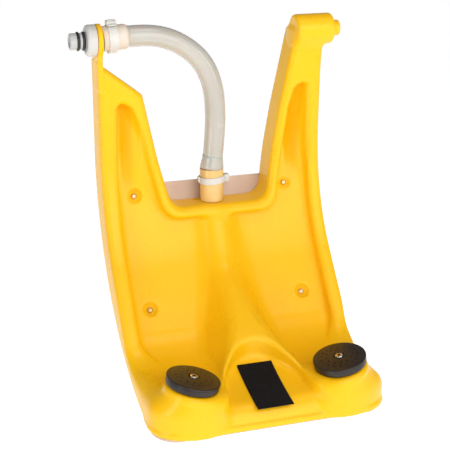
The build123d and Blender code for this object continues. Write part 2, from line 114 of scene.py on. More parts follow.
def moulded(name, dark, light, rough, scale=9.0, grain=0.00012, **sockets):
    """Moulded plastic: faint mottling, uneven gloss and a fine orange-peel skin."""
    mat = material(name, light, rough, **sockets)
    clouds = texture(mat, "ShaderNodeTexNoise", scale, 4.0)
    drive(mat, "Base Color", ramp(mat, clouds, [(0.32, dark), (0.68, light)]))
    haze = texture(mat, "ShaderNodeTexNoise", scale * 4, 5.0)
    drive(mat, "Roughness", spread(mat, haze, rough - 0.06, rough + 0.08))
    peel = texture(mat, "ShaderNodeTexNoise", 420.0, 2.0)
    waves = texture(mat, "ShaderNodeTexNoise", 38.0, 2.0)
    soft = bump(mat, waves, grain * 2.5, 0.25)
    drive(mat, "Normal", bump(mat, peel, grain, 0.35, soft))
    return mat


yellow = moulded("yellow_shell", (0.91, 0.485, 0.003), (0.95, 0.515, 0.004), 0.28,
                 grain=0.00006, Subsurface_Weight=0.05, Subsurface_Scale=0.004,
                 Specular_IOR_Level=0.44, Specular_Tint=(1.0, 0.92, 0.62, 1))
yellow.node_tree.nodes["Principled BSDF"].inputs["Subsurface Radius"].default_value = (
    1.0, 0.45, 0.08)
natural = moulded("natural_plate", (0.56, 0.41, 0.32), (0.62, 0.47, 0.37), 0.48,
                  Subsurface_Weight=0.15, Subsurface_Scale=0.004)
white = moulded("white_plastic", (0.54, 0.52, 0.49), (0.61, 0.59, 0.56), 0.36,
                scale=24.0, grain=0.00006, Subsurface_Weight=0.2, Subsurface_Scale=0.003)
rubber = moulded("seal_rubber", (0.010, 0.010, 0.010), (0.018, 0.018, 0.018), 0.34,
                 scale=60.0, grain=0.00004)
nylon = moulded("nylon_tie", (0.60, 0.58, 0.54), (0.67, 0.65, 0.61), 0.34,
                scale=40.0, grain=0.00004, Subsurface_Weight=0.3, Subsurface_Scale=0.002)
amber = moulded("amber_fitting", (0.70, 0.44, 0.14), (0.80, 0.54, 0.20), 0.18,
                scale=40.0, grain=0.00004, Subsurface_Weight=0.2, Subsurface_Scale=0.002)
pipe = moulded("pipe_plastic", (0.74, 0.72, 0.68), (0.80, 0.79, 0.76), 0.35, scale=30.0)
# Near-black plastic; its faint brown cast is a painted reflection of the yellow tray.
black = moulded("black_head", (0.012, 0.008, 0.006), (0.022, 0.015, 0.011), 0.36,
                scale=55.0, grain=0.00010, Specular_IOR_Level=0.42)
foam = moulded("filter_foam", (0.03, 0.03, 0.03), (0.08, 0.08, 0.08), 0.95,
               scale=300.0, grain=0.0006)
steel = moulded("screw_steel", (0.62, 0.57, 0.48), (0.80, 0.76, 0.68), 0.24,
                scale=160.0, grain=0.00003, Metallic=1.0)
grey = moulded("spigot_grey", (0.44, 0.44, 0.43), (0.51, 0.51, 0.50), 0.38,
               scale=26.0, grain=0.00005)
rivet_metal = moulded("rivet_metal", (0.62, 0.47, 0.24), (0.74, 0.60, 0.36), 0.34,
                      scale=120.0, grain=0.00003, Metallic=1.0)
flare_mat = moulded("hose_end", (0.66, 0.55, 0.44), (0.74, 0.63, 0.53), 0.24,
                    scale=30.0, grain=0.00005, Subsurface_Weight=0.3,
                    Subsurface_Scale=0.004)
# Near-black disc for the bottom of the screws' hex sockets: painted shade in the deep socket.
socket_shade_mat = moulded("screw_socket", (0.020, 0.018, 0.016), (0.035, 0.031, 0.028), 0.6,
                     scale=90.0, grain=0.00003)
hose_mat = moulded("clear_hose", (0.47, 0.44, 0.385), (0.51, 0.48, 0.42), 0.24,
                   Coat_Weight=0.60, Coat_Roughness=0.09,
                   scale=14.0, grain=0.00005, Subsurface_Weight=0.35,
                   Subsurface_Scale=0.006)
pile = material("hook_loop", (0.010, 0.007, 0.007), 0.92, Sheen_Weight=0.04,
                Specular_IOR_Level=0.15)
tufts = texture(pile, "ShaderNodeTexVoronoi", 620.0, Randomness=0.85)
drive(pile, "Base Color", ramp(pile, tufts, [(0.1, (0.020, 0.014, 0.014)),
                                             (0.7, (0.004, 0.003, 0.003))]))
drive(pile, "Normal", bump(pile, tufts, 0.0009, 0.8))


# ---- meshes -------------------------------------------------------------------------
WELD = 1e-7  # points nearer than this, in metres, become one


def placed(name, mesh, mat, body="tray"):
    """A smooth-shaded piece of that mesh, riding on a body."""
    obj = bpy.data.objects.new(name, mesh)
    bpy.context.scene.collection.objects.link(obj)
    mesh.materials.append(mat)
    mesh.polygons.foreach_set("use_smooth", [True] * len(mesh.polygons))
    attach(obj, body)
    return obj


def joined(name, parts, mat, body="tray"):
    """One piece from several (points, faces) meshes in millimetres."""
    verts, faces = [], []
    for some_verts, some_faces in parts:
        faces += [tuple(i + len(verts) for i in face) for face in some_faces]
        verts += [tuple(v) for v in some_verts]
    mesh = bpy.data.meshes.new(name)
    mesh.from_pydata(verts, [], faces)
    mesh.transform(Matrix.Scale(MM, 4))
    mesh.update()
    obj = placed(name, mesh, mat, body)
    bm = bmesh.new()
    bm.from_mesh(mesh)
    bmesh.ops.remove_doubles(bm, verts=bm.verts, dist=WELD)
    bmesh.ops.recalc_face_normals(bm, faces=bm.faces)
    bm.to_mesh(mesh)
    bm.free()
    return obj


def bevelled(profile, rounds, steps):
    """A polyline with the corners listed in rounds turned into arcs of that radius."""
    points = [Vector(p) for p in profile]
    out = []
    for i, here in enumerate(points):
        if i in rounds:
            out += corner(points[i - 1], here, points[i + 1], rounds[i], steps)
        else:
            out.append(tuple(here))
    return out


def corner(before, here, after, radius, steps):
    """Points of the arc that rounds one corner."""
    a, b = (before - here), (after - here)
    la, lb = a.length, b.length
    a, b = a / la, b / lb
    half = a.angle(b) / 2
    if half > pi / 2 - 0.002:  # as good as straight
        return [tuple(here)]
    reach = min(radius / np.tan(half), 0.49 * la, 0.49 * lb)  # under half of each side
    radius = reach * np.tan(half)
    centre = here + (a + b).normalized() * (radius / sin(half))
    start, end = here + a * reach - centre, here + b * reach - centre
    turn = start.angle(end)
    points = []
    for k in range(steps + 1):
        t = k / steps
        mix = (start * sin((1 - t) * turn) + end * sin(t * turn)) / sin(turn)
        points.append(tuple(centre + mix))
    return points


def about(origin, axis):
    """Placement of (height, radius, angle) about any axis."""
    axis = Vector(axis).normalized()
    across = axis.orthogonal().normalized()
    other = axis.cross(across)

    def place(h, r, angle):
        return Vector(origin) + axis * h + (across * cos(angle) + other * sin(angle)) * r
    return place


def about_x(h, r, angle):
    """Placement about the hinge axis."""
    return (h, r * cos(angle), r * sin(angle))


def lathe(profile, place, steps):
    """Points and faces of a closed profile of (height, radius) turned about an axis."""
    verts, faces = [], []
    rings = len(profile)
    for h, r in profile:
        for k in range(steps):
            verts.append(place(h, r, 2 * pi * k / steps))
    for i in range(rings):
        j = (i + 1) % rings
        for k in range(steps):
            n = (k + 1) % steps
            faces.append((i * steps + k, j * steps + k, j * steps + n, i * steps + n))
    return verts, faces


def turned(name, profile, place, mat, body="tray", steps=72):
    """A piece of revolution."""
    return joined(name, [lathe(profile, place, steps)], mat, body)


# ---- the moulded shell as one smooth field ------------------------------------------
HALF = 137.5  # half width of the tray
RIGHT_BULGE = 4.5  # how much wider its right side is, behind the front corner
ARC_Y, ARC_Z = -240.0, -130.0  # centre of the pan's curve, seen from the side
BACK, FRONT = 267.0, 230.0  # radii of that curve at the plate and at the rim crest
LEAN = radians(36.0)  # angle at which the rim crest runs straight on from the curve
SHELF = -355.0  # height of the front shelf
FRONT_Y = -235.0  # front edge of the shelf
PAN = 16.0  # depth of the pan behind the rim crest
WALL = 4.0  # thickness of the plastic
NOTCH = -204.0  # height of the notch's ledge
RIDGE_X = 2.0  # middle of the pipe cover
TAB_R, TAB_THICK = 19.0, 6.0  # hinge tab on the left arm
BOSS_R, STUB_R = 18.5, 9.5  # boss on the right arm and its stub


def either(a, b, r):
    """Union of two solids with a fillet of radius r in the corner."""
    u, v = np.maximum(r - a, 0), np.maximum(r - b, 0)
    return np.maximum(r, np.minimum(a, b)) - np.sqrt(u * u + v * v)


def both(a, b, r):
    """Overlap of two solids with the outer edge rounded to radius r."""
    u, v = np.maximum(r + a, 0), np.maximum(r + b, 0)
    return np.minimum(-r, np.maximum(a, b)) + np.sqrt(u * u + v * v)


def side_profile(y, z):
    """Depth behind the rim crest, distance down it from the axis, depth behind the back."""
    angle = np.arctan2(-(z - ARC_Z), y - ARC_Y)
    radius = np.hypot(y - ARC_Y, z - ARC_Z)
    along = (y - ARC_Y) * cos(LEAN) - (z - ARC_Z) * sin(LEAN) - FRONT
    down = -(y - ARC_Y) * sin(LEAN) - (z - ARC_Z) * cos(LEAN)
    upper, lower = z > ARC_Z, angle > LEAN
    depth = np.where(upper, y - ARC_Y - FRONT, np.where(lower, along, radius - FRONT))
    s = np.where(upper, -z, np.where(lower, -ARC_Z + FRONT * LEAN + down,
                                     -ARC_Z + FRONT * angle))
    back = np.where(upper, y - ARC_Y - BACK, radius - BACK)
    return depth, s, back


def rounded_outline(points):
    """Closed polygon whose corners (x, z, radius) are turned into arcs."""
    out = []
    for i, (x, z, r) in enumerate(points):
        before, after = points[i - 1], points[(i + 1) % len(points)]
        if r:
            out += corner(Vector(before[:2]), Vector((x, z)), Vector(after[:2]), r, 7)
        else:
            out.append((x, z))
    return np.array(out)


def polygon(x, z, points):
    """Signed distance to a closed polygon, negative inside."""
    best = np.full(np.broadcast(x, z).shape, 1e12)
    sign = np.ones_like(best)
    for (ax, az), (bx, bz) in zip(points, np.roll(points, -1, axis=0)):
        ex, ez = bx - ax, bz - az
        wx, wz = x - ax, z - az
        t = np.clip((wx * ex + wz * ez) / (ex * ex + ez * ez + 1e-12), 0, 1)
        best = np.minimum(best, (wx - ex * t) ** 2 + (wz - ez * t) ** 2)
        above, below = z >= az, z < bz
        turn = ex * wz > ez * wx
        flip = (above & below & turn) | (~above & ~below & ~turn)
        sign = np.where(flip, -sign, sign)
    return sign * np.sqrt(best)


# Corners (x, z, radius) of the whole tray and of its pan with the two arm slots, from
# the front. Both run down past the shelf, where other shapes end them.
OUTLINE = rounded_outline([
    (-HALF, -600, 0), (-HALF, -22, 3), (-132.5, -29, 9), (-84.5, -66, 7),
    (-75.2, -109, 60), (-67.2, -146, 60), (-52.8, NOTCH, 19), (67.0, NOTCH, 19),
    (76.8, -146, 60), (86.8, -90, 60), (102.5, -18, 20), (107, 2, 6), (143.5, 2, 6),
    (140.5, -50, 90), (139.4, -120, 90), (139.8, -230, 90), (141.5, -322, 40),
    (138.5, -362, 20), (HALF, -400, 0), (HALF, -600, 0)])
RECESS = rounded_outline([
    (-120.0, -600, 0), (-117.5, -217, 60), (-115.5, -72, 9), (-99, -80, 12),
    (-87, -112, 40), (-79, -150, 40), (-63, -217, 24), (78, -217, 24), (90, -150, 40),
    (99, -92, 30), (107, -68, 9), (121.5, -62, 9), (122.5, -150, 60), (122.5, -600, 0)])
HEADS = {"left": -1, "right": 1}
HEAD = (86.0, -205.5, -337.0)  # middle of the right head's top; the left is its mirror
ROLL, PITCH = radians(12.0), radians(3.0)  # lean of the heads inwards and to the front
MOUND_R, MOUND_TOP = 33.5, -11.5  # radius of a mound's post and its top below HEAD
FLANGE_Z = -391.0  # top of the flange round the foot

# Rivet dimples: (y, z) and tilt of each row, distance from the middle, radius of the
# ball that presses them and how far its centre is in front of the row.
DIMPLES = [((0.0, -190.0), radians(14.0)), ((-65.0, -311.5), radians(36.0))]
DIMPLE_X, DIMPLE_R, DIMPLE_OUT = 96.5, 10.0, 6.2

# Pipe cover by distance down the tray: depth of its crest, half width of its flat top
# and half width of its foot.
COVER_CREST = [(190, 1.0), (282, 1.0), (482, -85.0)]
COVER_TOP = [(190, 8), (265, 8.5), (313, 11), (353, 16), (393, 32), (423, 47), (482, 62)]
COVER_FOOT = [(190, 25), (245, 27), (290, 31), (328, 36), (360, 44), (385, 55), (410, 68),
              (482, 92)]
COVER_START = 205.0

# Valley between the mounds: height, y and slope of its floor, and a sag that is deepest
# at the middle and ends at the reach from there. The arch behind it: crown, rise and half
# width.
VALLEY_Z, VALLEY_Y, VALLEY_SLOPE = -353.0, -157.0, 0.29
VALLEY_SAG, VALLEY_MIDDLE, VALLEY_REACH = 2.2, -193.0, 37.0
ARCH_Y, ARCH_RISE, ARCH_HALF = -150.0, 38.0, 47.0


def head_axis(sign):
    """Direction that a head faces."""
    axis = Vector((-sign * sin(ROLL), -sin(PITCH), cos(ROLL)))
    return axis.normalized()


def eased(x, start, end):
    """Smooth step from 0 at start to 1 at end."""
    t = np.clip((x - start) / (end - start), 0, 1)
    return t * t * (3 - 2 * t)


def slab(v, low, high):
    """Distance to the layer between two planes."""
    return np.abs(v - (low + high) / 2) - (high - low) / 2


def table(s, stops):
    """Smooth run near (s, value) stops, their corners eased over part of its length."""
    samples, window = 200, 31
    xs, ys = zip(*stops)
    fine = np.linspace(xs[0], xs[-1], samples)
    line = np.interp(fine, xs, ys)
    kernel = np.hanning(window)
    padded = np.pad(line, window // 2, mode="edge")
    return np.interp(s, fine, np.convolve(padded, kernel / kernel.sum(), "valid"))


def plan_field(x, y):
    """Outline from above: straight sides and two round front corners."""
    turn = np.where(x < 0, 38.0, 31.0)
    right = HALF + RIGHT_BULGE - RIGHT_BULGE * eased(-y, 190, 235)
    edge = np.where(x < 0, HALF, right)
    qx, qy = np.abs(x) - (edge - turn), (-y) - (-FRONT_Y - turn)
    outside = np.hypot(np.maximum(qx, 0), np.maximum(qy, 0))
    return outside + np.minimum(np.maximum(qx, qy), 0) - turn


def recess_field(x, z, depth):
    """Air in front of the pan and of the slots, which slope across each arm."""
    across = np.where(x < 0, (x + 105) / 16, (x - 111) / 11)
    sunk = PAN + (2.5 - 9.5 * np.clip(across, -1, 1)) * eased(z, -215, -120)
    return both(both(depth - sunk, polygon(x, z, RECESS), 8), SHELF - z, 24)


def cover_field(x, depth, s):
    """Raised cover over the pipe: a trunk that widens into the hood."""
    crest, flat, foot = (table(s, stops) for stops in (COVER_CREST, COVER_TOP, COVER_FOOT))
    side = np.abs(x - RIDGE_X)
    slope = np.maximum(PAN - crest, 4) / (foot - flat)
    flank = ((side - foot) * slope + PAN - depth) / np.sqrt(1 + slope**2)
    return both(both(crest - depth, flank, 8), COVER_START - s, 4)


def valley_z(y):
    """Height of the valley's floor."""
    sag = VALLEY_SAG * (1 - ((y - VALLEY_MIDDLE) / VALLEY_REACH) ** 2)
    return VALLEY_Z + (y - VALLEY_Y) * VALLEY_SLOPE - sag


def valley_field(x, y, z):
    """Hollow under the arch, between the two mounds."""
    arch = y - ARCH_Y + ARCH_RISE * (x / ARCH_HALF) ** 2
    arch = arch / np.sqrt(1 + (80 * x / ARCH_HALF**2) ** 2)
    return both(both(arch, np.abs(x) - 52, 14), (valley_z(y) - z) * 0.96, 6)


def mound_field(x, y, z, sign):
    """Round post under a head, its top square to the head's axis."""
    axis = head_axis(sign)
    post = np.hypot(x - sign * HEAD[0], y - HEAD[1]) - MOUND_R
    cap = ((x - sign * HEAD[0]) * axis.x + (y - HEAD[1]) * axis.y
           + (z - HEAD[2]) * axis.z - MOUND_TOP)
    return both(post, cap, 6)


def dimple_field(x, y, z, seat, tilt, sign):
    """Ball that presses a dimple round a rivet."""
    return np.sqrt((x - sign * DIMPLE_X) ** 2
                   + (y - (seat[0] - DIMPLE_OUT * cos(tilt))) ** 2
                   + (z - (seat[1] + DIMPLE_OUT * sin(tilt))) ** 2) - DIMPLE_R


def skin_field(x, y, z):
    """Distance to the outer skin as if the moulding were solid and open behind."""
    depth, s, _ = side_profile(y, z)
    top = either(-depth, z - SHELF, 18)
    top = both(top, -recess_field(x, z, depth), 7)
    top = either(top, cover_field(x, depth, s), 9)
    top = both(top, -valley_field(x, y, z), 4.5)
    rim = np.maximum(polygon(x, z, OUTLINE), plan_field(x, y))
    crown = 8 + (12 + 3 * eased(x, -30, 90)) * eased(-y, 120, 185)
    body = both(top, rim + 1.6 * eased(-y, 205, 232), crown)
    for sign in HEADS.values():
        body = either(body, mound_field(x, y, z, sign), 11)
    flange = both(rim - 0.4, z - FLANGE_Z, 1.6)
    body = either(body, flange, 3)
    for seat, tilt in DIMPLES:
        for sign in HEADS.values():
            body = both(body, -dimple_field(x, y, z, seat, tilt, sign), 1.0)
    return body


def evened(body, pitch):
    """Grid of a field brought nearer to true distance by its own gradient."""
    size = np.sqrt(sum(g * g for g in np.gradient(body, pitch)))
    return body / np.clip(size, 0.6, 4.0)


def shell_field(x, y, z, pitch=None):
    """Distance to the finished moulding, negative in the plastic; pitch is for a grid."""
    back = side_profile(y, z)[2]
    body = skin_field(x, y, z)
    inner = body if pitch is None else evened(body, pitch)
    shell = both(both(body, -(inner + WALL), 0.4), back, 1.0)
    from_hinge = np.hypot(y, z)
    lug = both(slab(y, -10, 19), slab(z, -58, 2), 2)
    tab = both(either(from_hinge - TAB_R, lug, 6), slab(x, -HALF, TAB_THICK - HALF), 1.2)
    boss = both(from_hinge - BOSS_R, slab(x, 106, 153.5), 3.5)
    stub = both(from_hinge - STUB_R, slab(x, 146.5, 163.5), 1.2)
    return either(either(either(shell, tab, 2.5), boss, 7), stub, 1.0)


def crossed_cells(inside):
    """Grid cells whose eight corners aren't all on one side of the surface."""
    n = [k - 1 for k in inside.shape]
    count = np.zeros(n, np.int8)
    for i, j, k in np.ndindex(2, 2, 2):
        count += inside[i:n[0] + i, j:n[1] + j, k:n[2] + k]
    return np.argwhere((count > 0) & (count < 8))


def mean_crossings(value, cells):
    """Mean place, in grid steps, where the surface crosses the edges of each cell."""
    total, hits = np.zeros((len(cells), 3)), np.zeros(len(cells))
    for axis in range(3):
        step = np.eye(3, dtype=int)[axis]
        others = [o for o in range(3) if o != axis]
        for shift in np.ndindex(2, 2):
            base = cells.copy()
            base[:, others] += shift
            a, b = value[tuple(base.T)], value[tuple((base + step).T)]
            cross = (a < 0) != (b < 0)
            t = np.where(cross, a / np.where(cross, a - b, 1), 0)
            total += np.where(cross[:, None], base + t[:, None] * step, 0)
            hits += cross
    return total / hits[:, None]


def net_faces(inside, cells):
    """A quad between the four cells round each grid edge that the surface crosses."""
    n = [k - 1 for k in inside.shape]
    index = np.full(n, -1, np.int64)
    index[tuple(cells.T)] = np.arange(len(cells))
    faces = []
    for axis in range(3):
        a = np.take(inside, range(n[axis]), axis)
        b = np.take(inside, range(1, n[axis] + 1), axis)
        edges = np.argwhere(a != b)
        o1, o2 = [o for o in range(3) if o != axis]
        keep = ((edges[:, o1] > 0) & (edges[:, o2] > 0)
                & (edges[:, o1] < n[o1]) & (edges[:, o2] < n[o2]))
        edges = edges[keep]
        quads = []
        for i, j in ((1, 1), (0, 1), (0, 0), (1, 0)):
            cell = edges.copy()
            cell[:, o1] -= i
            cell[:, o2] -= j
            quads.append(index[tuple(cell.T)])
        quads = np.stack(quads, 1)
        outward = a[tuple(edges.T)] ^ (axis == 1)
        quads[~outward] = quads[~outward][:, ::-1]
        faces.append(quads)
    return np.concatenate(faces)


def settled(field, points, pitch):
    """Points of the outer skin moved onto the zero surface of the field."""
    outer = skin_field(*points.T) > -0.45 * WALL
    rounds, probe = 4, 0.05
    for _ in range(rounds):
        f = field(*points.T)
        grad = np.stack([
            field(*(points + d).T) - field(*(points - d).T)
            for d in np.eye(3) * probe], 1) / (2 * probe)
        size = np.maximum((grad**2).sum(1), 0.25)
        move = -(f / size)[:, None] * grad
        length = np.linalg.norm(move, axis=1, keepdims=True)
        move *= np.minimum(1, 0.3 * pitch / np.maximum(length, 1e-9))
        points = points + np.where(outer[:, None], move, 0)
    return points


def surface_net(field, low, high, pitch):
    """Points and quads over the zero surface of a field, between two corners."""
    axes = [np.arange(a, b + pitch, pitch) for a, b in zip(low, high)]
    value = field(*np.ix_(*axes), pitch).astype(np.float32)
    cells = crossed_cells(value < 0)
    points = mean_crossings(value, cells) * pitch + np.array([a[0] for a in axes])
    return settled(field, points, pitch), net_faces(value < 0, cells)


def mesh_from_arrays(name, points, faces):
    """A mesh from an array of points in millimetres and one of quads."""
    mesh = bpy.data.meshes.new(name)
    mesh.vertices.add(len(points))
    mesh.vertices.foreach_set("co", (points * MM).astype(np.float32).ravel())
    mesh.loops.add(faces.size)
    mesh.loops.foreach_set("vertex_index", faces.astype(np.int32).ravel())
    mesh.polygons.add(len(faces))
    mesh.polygons.foreach_set("loop_start", np.arange(0, faces.size, faces.shape[1]))
    mesh.update(calc_edges=True)
    mesh.validate()
    return mesh


GRID_LOW, GRID_HIGH = (-141, -243, -401), (167, 31, 22)
GRID_PITCH = 1.7
shell_net = surface_net(shell_field, GRID_LOW, GRID_HIGH, GRID_PITCH)
tray = placed("tray_moulding", mesh_from_arrays("tray_moulding", *shell_net), yellow)
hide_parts("tray_shell")

# ---- feed hose ----------------------------------------------------------------------
# From the spigot's barb to the fitting in the notch, in metres, as the CAD route.
HOSE_ROUTE = [
    (-0.1270, 0.0000, 0.0015), (-0.0970, 0.0000, 0.0032), (-0.0660, 0.0000, 0.0025),
    (-0.0375, 0.0000, -0.0075), (-0.0110, 0.0000, -0.0285), (0.0035, 0.0000, -0.0585),
    (0.0070, 0.0003, -0.0950), (0.0050, 0.0006, -0.1310), (0.0015, 0.0010, -0.1675),
    (0.0020, 0.0010, -0.2035)]
curve = bpy.data.curves.new("feed_hose", "CURVE")
curve.dimensions = "3D"
spline = curve.splines.new("NURBS")
spline.points.add(len(HOSE_ROUTE) - 1)
for point, place in zip(spline.points, HOSE_ROUTE):
    point.co = (*place, 1)
spline.order_u = 3
spline.use_endpoint_u = True
spline.resolution_u = 14
curve.bevel_depth = 0.0125  # half the hose's diameter
curve.bevel_resolution = 12
curve.use_fill_caps = True
hose = bpy.data.objects.new("feed_hose", curve)
bpy.context.scene.collection.objects.link(hose)
curve.materials.append(hose_mat)
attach(hose, "tray")
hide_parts("supply_hose")

# ---- hose ends and band clamps -------------------------------------------------------
STRAP = 1.5  # thickness of a clamp's strap
FLARE_BORE = 12.55  # inside radius of the two flared ends


def block(centre, axes, size, r):
    """Box with rounded edges on three given axes: an outline stacked and drawn in."""
    steps = 3
    u, v, w = (Vector(a).normalized() for a in axes)
    a, b, c = (0.5 * n for n in size)
    ring = []
    for cx, cy, start in ((a - r, b - r, 0), (r - a, b - r, 1), (r - a, r - b, 2),
                          (a - r, r - b, 3)):
        for k in range(steps + 1):
            ang = (start + k / steps) * pi / 2
            ring.append((cx, cy, cos(ang), sin(ang)))
    levels = []
    for k in range(steps + 1):
        ang = k / steps * pi / 2
        levels.append((-c + r - r * cos(ang), r * sin(ang)))
    levels += [(-h, reach) for h, reach in reversed(levels)]
    verts, faces = [], []
    for h, reach in levels:
        for cx, cy, nx, ny in ring:
            verts.append(Vector(centre) + u * (cx + nx * reach) + v * (cy + ny * reach)
                         + w * h)
    n = len(ring)
    for i in range(len(levels) - 1):
        for k in range(n):
            m = (k + 1) % n
            faces.append((i * n + k, i * n + m, (i + 1) * n + m, (i + 1) * n + k))
    faces.append(tuple(range(n))[::-1])
    faces.append(tuple((len(levels) - 1) * n + k for k in range(n)))
    return verts, faces


def band(origin, axis, inner, width):
    """Strap wound once round a hose, edges eased."""
    w, outer, ease = width / 2, inner + STRAP, 0.45
    profile = bevelled([(0, inner), (-w, inner), (-w, outer), (w, outer), (w, inner),
                        (0.01, inner)], {2: ease, 3: ease}, 3)
    return lathe(profile, about(origin, axis), 72)


def clamp(name, origin, axis, inner, width, head_way, tail_way):
    """Nylon band clamp: strap, ratchet head, pawl step and cut tail."""
    origin, axis = Vector(origin), Vector(axis).normalized()
    head_way, tail_way = Vector(head_way), Vector(tail_way)
    head_way = (head_way - axis * head_way.dot(axis)).normalized()
    side = axis.cross(head_way)
    head_axes = (side, axis, head_way)
    tail_axes = (axis, tail_way.cross(axis), tail_way)
    top = inner + STRAP
    parts = [
        band(origin, axis, inner, width),
        block(origin + head_way * (top + 1.9), head_axes, (8.6, width + 1.0, 5.4), 1.1),
        block(origin + head_way * (top + 0.6) + side * 5.8, head_axes,
              (5.0, width - 1.4, 1.5), 0.5),
        block(origin + head_way * (top + 4.9), head_axes, (3.0, width - 2.2, 1.6), 0.5),
        block(origin + tail_way * (top + 0.3), tail_axes, (width - 0.6, 6.0, 2.6), 0.9)]
    return joined(name, parts, nylon)


upper_flare = turned("hose_end_upper", bevelled(
    [(-15.0, FLARE_BORE), (-15.0, 14.5), (11.5, 14.6), (15.5, 12.65), (15.5, FLARE_BORE)],
    {1: 0.9, 2: 1.8}, 4), about((-115.0, 0, 2.2), (1, 0, 0.058)), flare_mat)
lower_flare = turned("hose_end_lower", bevelled(
    [(-203.4, FLARE_BORE), (-203.4, 14.2), (-163.2, 14.7), (-163.2, FLARE_BORE)],
    {1: 0.5, 2: 0.4}, 4), about((1.8, 1.0, 0), (0, 0, 1)), amber)
swell = turned("hose_swell", [
    (0, 12.2), (0.1, 14.66), (3.0, 14.45), (6.5, 13.9), (10.5, 13.2), (14.5, 12.68),
    (18.0, 12.3)], about((1.8, 1.0, -163.2), (0.10, -0.01, 1)), hose_mat)
upper_clamp = clamp("upper_band_clamp", (-118.5, 0, 2.0), (1, 0, 0.058), 14.5, 11.0,
                    (0, -0.10, 1), (0, 0, -1))
lower_clamp = clamp("lower_band_clamp", (1.8, 1.0, -176.5), (-0.07, 0, 1), 14.6, 8.0,
                    (1, -0.25, 0), (-1, 0, 0))
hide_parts("upper_cable_tie")
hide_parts("lower_cable_tie")

# ---- inlet spigot and collar -----------------------------------------------------------
TUBE, GROOVE = 9.6, 8.0  # radii of the spigot's nose and of its two seal grooves
spigot = turned("spigot_body", bevelled(
    [(-168.0, 6.3), (-168.0, TUBE), (-160.15, TUBE), (-160.15, GROOVE),
     (-156.65, GROOVE), (-156.65, TUBE), (-153.75, TUBE), (-153.75, GROOVE),
     (-150.25, GROOVE), (-150.25, 10.1), (-134.5, 10.1), (-134.5, 14.0), (-130.5, 14.0),
     (-130.5, 11.0), (-97.0, 9.0), (-97.0, 6.5)],
    {1: 1.8, 2: 0.3, 5: 0.3, 6: 0.3, 9: 0.4, 11: 0.8, 12: 0.8}, 5),
    about_x, grey)
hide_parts("inlet_spigot")
collar = turned("collar_ring", bevelled(
    [(-149.6, 10.35), (-149.6, 18.5), (-138.0, 18.5), (-138.0, 10.35)],
    {1: 4.2, 2: 0.8}, 8), about_x, white, body="tank_bearing", steps=96)
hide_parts("thrust_collar")

# ---- spray heads ------------------------------------------------------------------------
CREASE = radians(35.0)
HEAD_R, HOLE_R = 30.5, 0.95
HOLE_RINGS = [(15.0, 12, 0.0), (20.5, 18, 0.1)]  # radius, count and turn
STEM_R, STEM_BORE = 8.0, 5.5
SCREW_R, SCREW_HEAD_R = 1.8, 4.7


def cut(obj, tools):
    """Take tool meshes out of an object, with the modifier applied."""
    tool = joined(obj.name + "_cutter", tools, obj.data.materials[0])
    change = obj.modifiers.new("cut", "BOOLEAN")
    change.operation, change.solver, change.object = "DIFFERENCE", "EXACT", tool
    graph = bpy.context.evaluated_depsgraph_get()
    mesh = bpy.data.meshes.new_from_object(obj.evaluated_get(graph))
    obj.modifiers.clear()
    obj.data = mesh
    bpy.data.objects.remove(tool)


def smooth_by_angle(obj):
    """Soft shading, with edges sharper than CREASE kept crisp."""
    bm = bmesh.new()
    bm.from_mesh(obj.data)
    for face in bm.faces:
        face.smooth = True
    for edge in bm.edges:
        edge.smooth = not (edge.is_manifold and edge.calc_face_angle() > CREASE)
    bm.to_mesh(obj.data)
    bm.free()


def prism(place, sides, radius, low, high):
    """Points and faces of a straight prism about an axis."""
    verts = [place(h, radius, 2 * pi * k / sides) for h in (low, high)
             for k in range(sides)]
    faces = [(k, (k + 1) % sides, (k + 1) % sides + sides, k + sides)
             for k in range(sides)]
    return verts, faces + [tuple(range(sides))[::-1], tuple(range(sides, 2 * sides))]


def dome(r):
    """Height of a cap's face at that radius."""
    return 0.5 - 1.9 * (r / HEAD_R) ** 2


def spray_cap(side_name, axis, place):
    """Domed cap with a well for the screw and two rings of drilled holes."""
    rise = [(dome(r), r) for r in (8, 12, 16, 20, 24, 27)]
    cap = turned(f"spray_cap_{side_name}", bevelled(
        [(-3.3, 2.1), (-1.4, 2.1), (-1.4, 5.9), (dome(6), 6.2), *rise,
         (dome(28.6), HEAD_R), (-3.3, HEAD_R)],
        {3: 0.5, 10: 1.7}, 5), place, black, steps=96)
    holes = []
    for ring_radius, count, turn in HOLE_RINGS:
        for k in range(count):
            spot = place(0, ring_radius, 2 * pi * k / count + turn)
            holes.append(prism(about(spot, axis), 12, HOLE_R, -6, 4))
    cut(cap, holes)
    smooth_by_angle(cap)
    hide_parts(f"spray_face_{side_name}")


def spray_cup(side_name, place):
    """Cup under the cap, with its hollow stem."""
    cup = turned(f"spray_cup_{side_name}", bevelled(
        [(-3.7, HEAD_R - 3.7), (-3.7, HEAD_R - 0.5), (-10.9, HEAD_R - 0.3),
         (-10.9, STEM_R), (-36.0, STEM_R), (-36.0, STEM_BORE), (-7.0, STEM_BORE),
         (-7.0, HEAD_R - 3.7)],
        {1: 0.5, 2: 2.4, 4: 0.8}, 5), place, black, steps=96)
    smooth_by_angle(cup)
    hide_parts(f"spray_head_body_{side_name}")


def cap_screw(side_name, place):
    """Screw in the cap's middle, with a disc of painted shade at the bottom of its hex
    socket.
    """
    screw = turned(f"cap_screw_{side_name}", bevelled(
        [(-9.4, 0.01), (-9.4, SCREW_R), (-1.4, SCREW_R), (-1.4, SCREW_HEAD_R),
         (0.7, SCREW_HEAD_R), (1.3, 3.6), (1.3, 0.01)],
        {1: 0.4, 4: 0.6, 5: 0.5}, 4), place, steel, steps=48)
    cut(screw, [prism(place, 6, 2.9, -0.6, 4)])
    smooth_by_angle(screw)
    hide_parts(f"head_screw_{side_name}")
    # Dark disc on the socket's floor: painted shade.
    turned(f"screw_socket_{side_name}", [(-0.55, 0.01), (-0.55, 2.4), (-0.45, 2.4),
           (-0.45, 0.01)], place, socket_shade_mat, steps=24)


